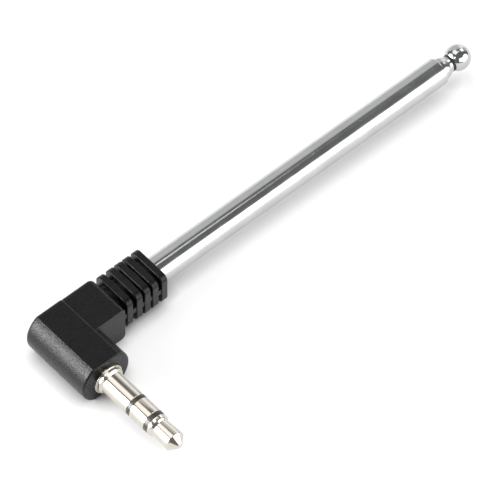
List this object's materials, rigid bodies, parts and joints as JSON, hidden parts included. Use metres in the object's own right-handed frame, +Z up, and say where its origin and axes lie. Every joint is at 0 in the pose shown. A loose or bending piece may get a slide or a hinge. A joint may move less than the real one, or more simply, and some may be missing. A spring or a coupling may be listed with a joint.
{
  "type": "telescopic plug-in antenna",
  "caption": "Telescopic whip antenna on a moulded right-angle stereo jack plug with a ribbed strain relief; sections draw out, turn and end in a ball knob.",
  "frame": {"origin": "centre of the plug's seating shoulder, on the plug's axis, where it meets the face of the socket", "axes": "+X along the antenna towards its knob, -Y the way the plug points into its socket, +Z up as the antenna lies flat"},
  "size_m": [0.0779, 0.027, 0.0068],
  "materials": {
    "moulding": "fine grained",
    "inner_mould": "matte",
    "plug_nickel": "polished nickel plate",
    "plug_insulator": "gloss",
    "lug_tin": "tinned",
    "lug_washer": "fibre washer",
    "lead_copper": "bare copper strand",
    "lead_insulation": "smooth",
    "solder": "bright solder",
    "foot_brass": "turned",
    "tube_chrome": "polished chrome plate",
    "bush_brass": "rolled strip",
    "buffer_rubber": "matte",
    "knob_chrome": "polished chrome plate"
  },
  "bodies": {
    "base": {"housing": "moulding", "inner_mould": "inner_mould", "plug_sleeve": "plug_nickel", "ring_insulator": "plug_insulator", "plug_ring": "plug_nickel", "tip_insulator": "plug_insulator", "plug_tip": "plug_nickel", "sleeve_lug": "lug_tin", "ring_lug_washer": "lug_washer", "ring_lug": "lug_tin", "tip_lug_washer": "lug_washer", "tip_lug": "lug_tin", "lead_core": "lead_copper", "lead_insulation": "lead_insulation", "tip_lug_solder": "solder", "foot_solder": "solder", "antenna_foot": "foot_brass", "tube_1": "tube_chrome"},
    "bush_2_body": {"bush_2": "bush_brass"},
    "section_2": {"tube_2": "tube_chrome"},
    "bush_3_body": {"bush_3": "bush_brass"},
    "section_3": {"tube_3": "tube_chrome"},
    "bush_4_body": {"bush_4": "bush_brass"},
    "section_4": {"rod_4": "tube_chrome", "buffer_ring": "buffer_rubber", "knob": "knob_chrome"}
  },
  "joints": [
    {"name": "slide_2", "type": "slide", "parent": "base", "child": "bush_2_body", "axis": [1, 0, 0], "range_m": [0, 0.0585]},
    {"name": "turn_2", "type": "hinge", "parent": "bush_2_body", "child": "section_2", "pos_m": [0.005, 0.01, 0], "axis": [1, 0, 0], "continuous": true},
    {"name": "slide_3", "type": "slide", "parent": "section_2", "child": "bush_3_body", "axis": [1, 0, 0], "range_m": [0, 0.056]},
    {"name": "turn_3", "type": "hinge", "parent": "bush_3_body", "child": "section_3", "pos_m": [0.009, 0.01, 0], "axis": [1, 0, 0], "continuous": true},
    {"name": "slide_4", "type": "slide", "parent": "section_3", "child": "bush_4_body", "axis": [1, 0, 0], "range_m": [0, 0.053]},
    {"name": "turn_4", "type": "hinge", "parent": "bush_4_body", "child": "section_4", "pos_m": [0.0127, 0.01, 0], "axis": [1, 0, 0], "continuous": true}
  ]
}
